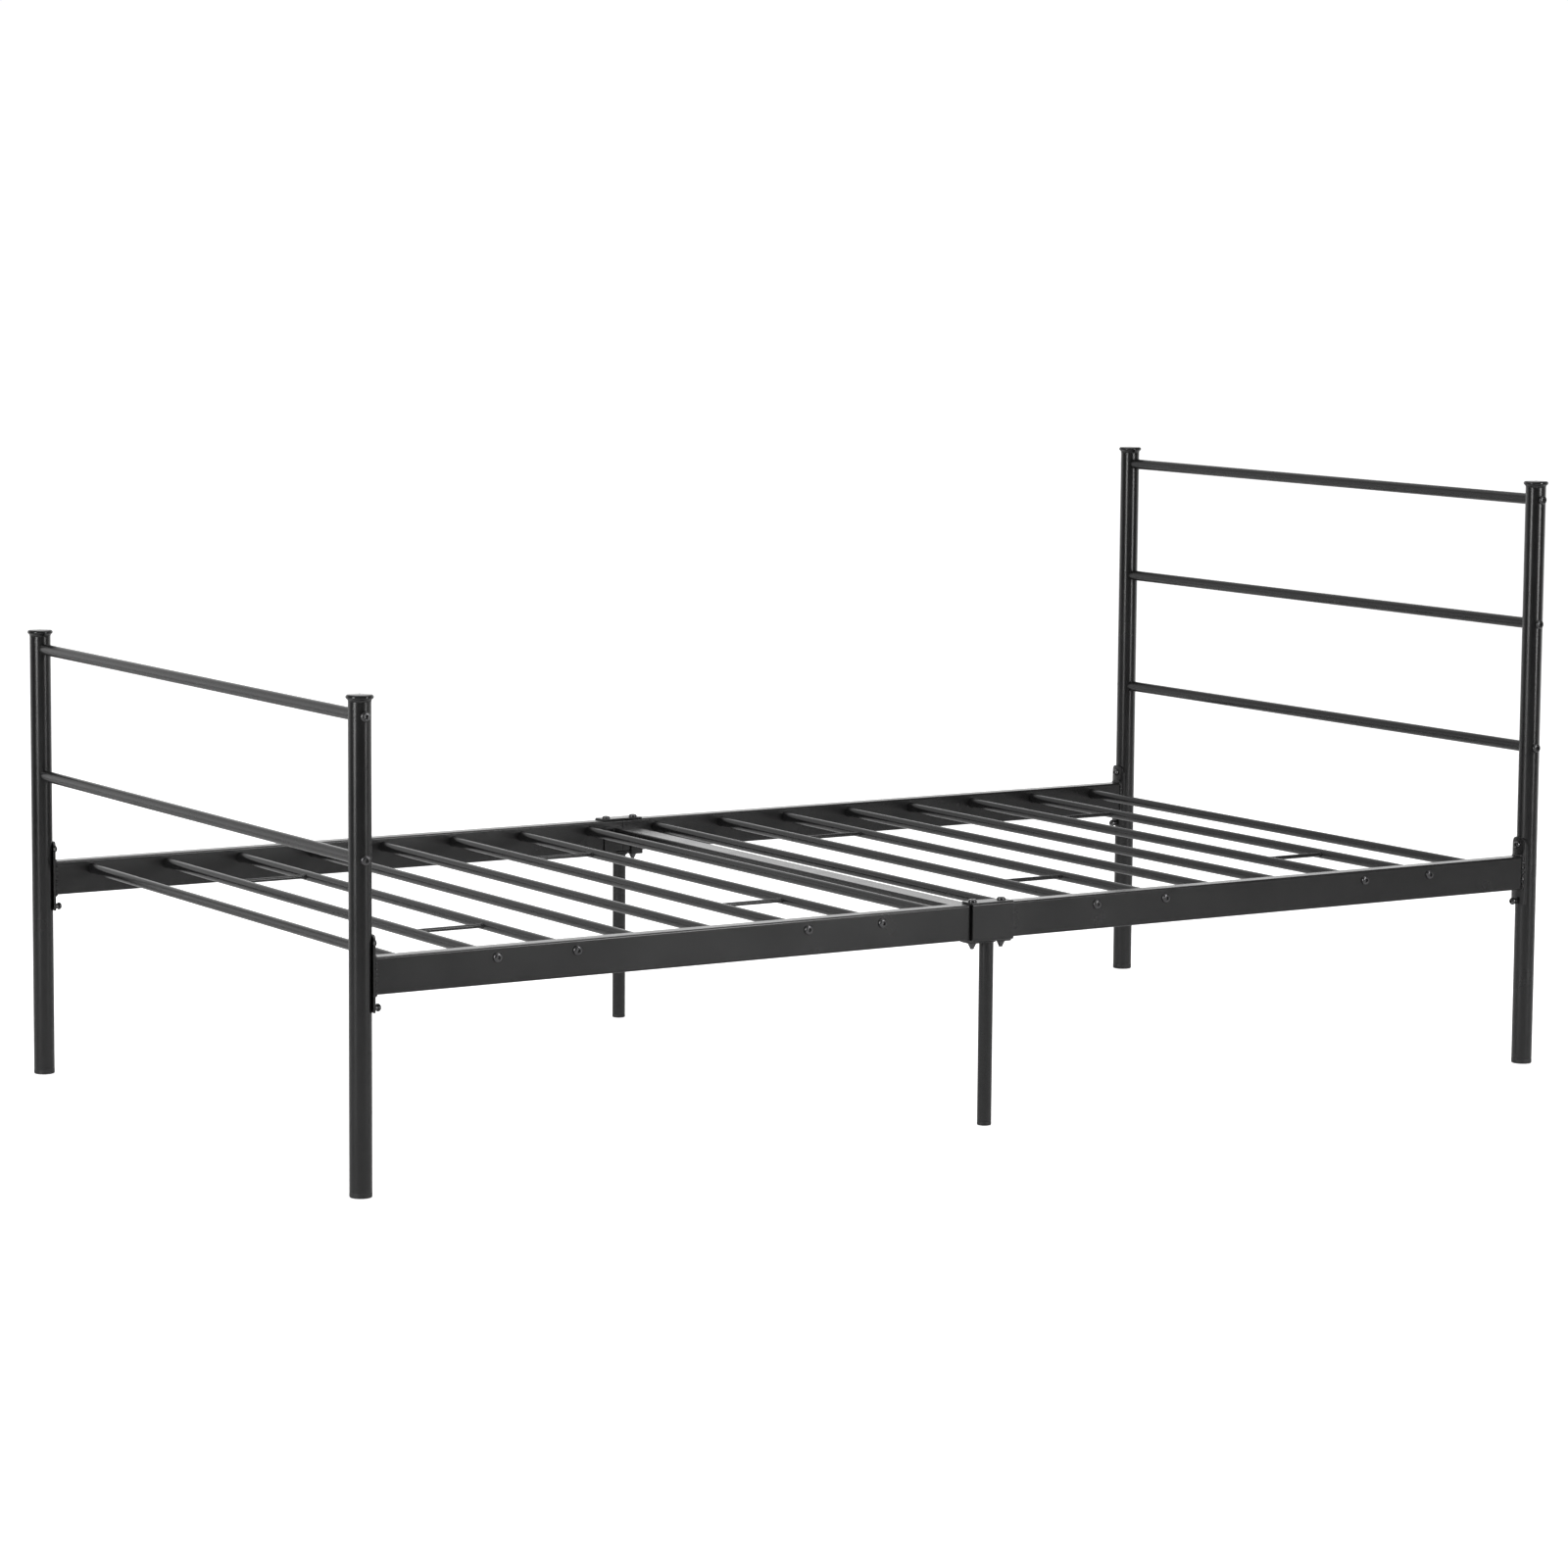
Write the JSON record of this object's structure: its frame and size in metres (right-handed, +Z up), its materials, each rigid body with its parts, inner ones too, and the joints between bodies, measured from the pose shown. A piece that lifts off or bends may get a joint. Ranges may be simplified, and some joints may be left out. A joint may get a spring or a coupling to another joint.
{
  "type": "bed frame",
  "caption": "Knock-down metal bed frame with round posts, crossbar headboard and footboard, side rails, tube slats and a centre beam on two legs.",
  "frame": {"origin": "on the floor, under the middle of the bed", "axes": "+X along the bed from the footboard to the headboard, +Y to the left side of the bed, +Z up"},
  "size_m": [1.9766, 1.0372, 0.866],
  "materials": {
    "powder_coat": "satin black powder coat",
    "cap_plastic": "semi-gloss black moulded plastic",
    "foot_plastic": "matt black moulded plastic",
    "black_fasteners": "black-finished steel",
    "zinc_steel": "zinc-plated steel, hidden inside the tubes"
  },
  "bodies": {
    "root": {"beam_hanger_left": "powder_coat", "beam_hanger_right": "powder_coat", "centre_beam": "powder_coat", "centre_bolts": "black_fasteners", "centre_bracket_left": "powder_coat", "centre_bracket_right": "powder_coat", "centre_leg_left": "powder_coat", "centre_leg_right": "powder_coat", "centre_nuts": "black_fasteners", "crossbar_bolts": "black_fasteners", "crossbar_inserts": "zinc_steel", "footboard_bar_low": "powder_coat", "footboard_bar_top": "powder_coat", "headboard_bar_low": "powder_coat", "headboard_bar_middle": "powder_coat", "headboard_bar_top": "powder_coat", "leg_foot_plugs": "foot_plastic", "post_cap_foot_left": "cap_plastic", "post_cap_foot_right": "cap_plastic", "post_cap_head_left": "cap_plastic", "post_cap_head_right": "cap_plastic", "post_foot_left": "powder_coat", "post_foot_plugs": "foot_plastic", "post_foot_right": "powder_coat", "post_head_left": "powder_coat", "post_head_right": "powder_coat", "post_weld_nuts": "zinc_steel", "rail_end_welds": "powder_coat", "rail_saddle_foot_left": "powder_coat", "rail_saddle_foot_right": "powder_coat", "rail_saddle_head_left": "powder_coat", "rail_saddle_head_right": "powder_coat", "saddle_bolts_hooked": "black_fasteners", "saddle_bolts_upper": "black_fasteners", "side_rail_left_foot": "powder_coat", "side_rail_left_head": "powder_coat", "side_rail_right_foot": "powder_coat", "side_rail_right_head": "powder_coat", "slat_01": "powder_coat", "slat_02": "powder_coat", "slat_03": "powder_coat", "slat_04": "powder_coat", "slat_05": "powder_coat", "slat_06": "powder_coat", "slat_07": "powder_coat", "slat_08": "powder_coat", "slat_09": "powder_coat", "slat_10": "powder_coat", "slat_11": "powder_coat", "slat_12": "powder_coat", "slat_13": "powder_coat", "slat_14": "powder_coat", "slat_15": "powder_coat", "slat_16": "powder_coat", "slat_bolts": "black_fasteners", "slat_inserts": "zinc_steel", "tie_rods_02_03": "powder_coat", "tie_rods_06_07": "powder_coat", "tie_rods_10_11": "powder_coat", "tie_rods_14_15": "powder_coat"}
  },
  "joints": []
}
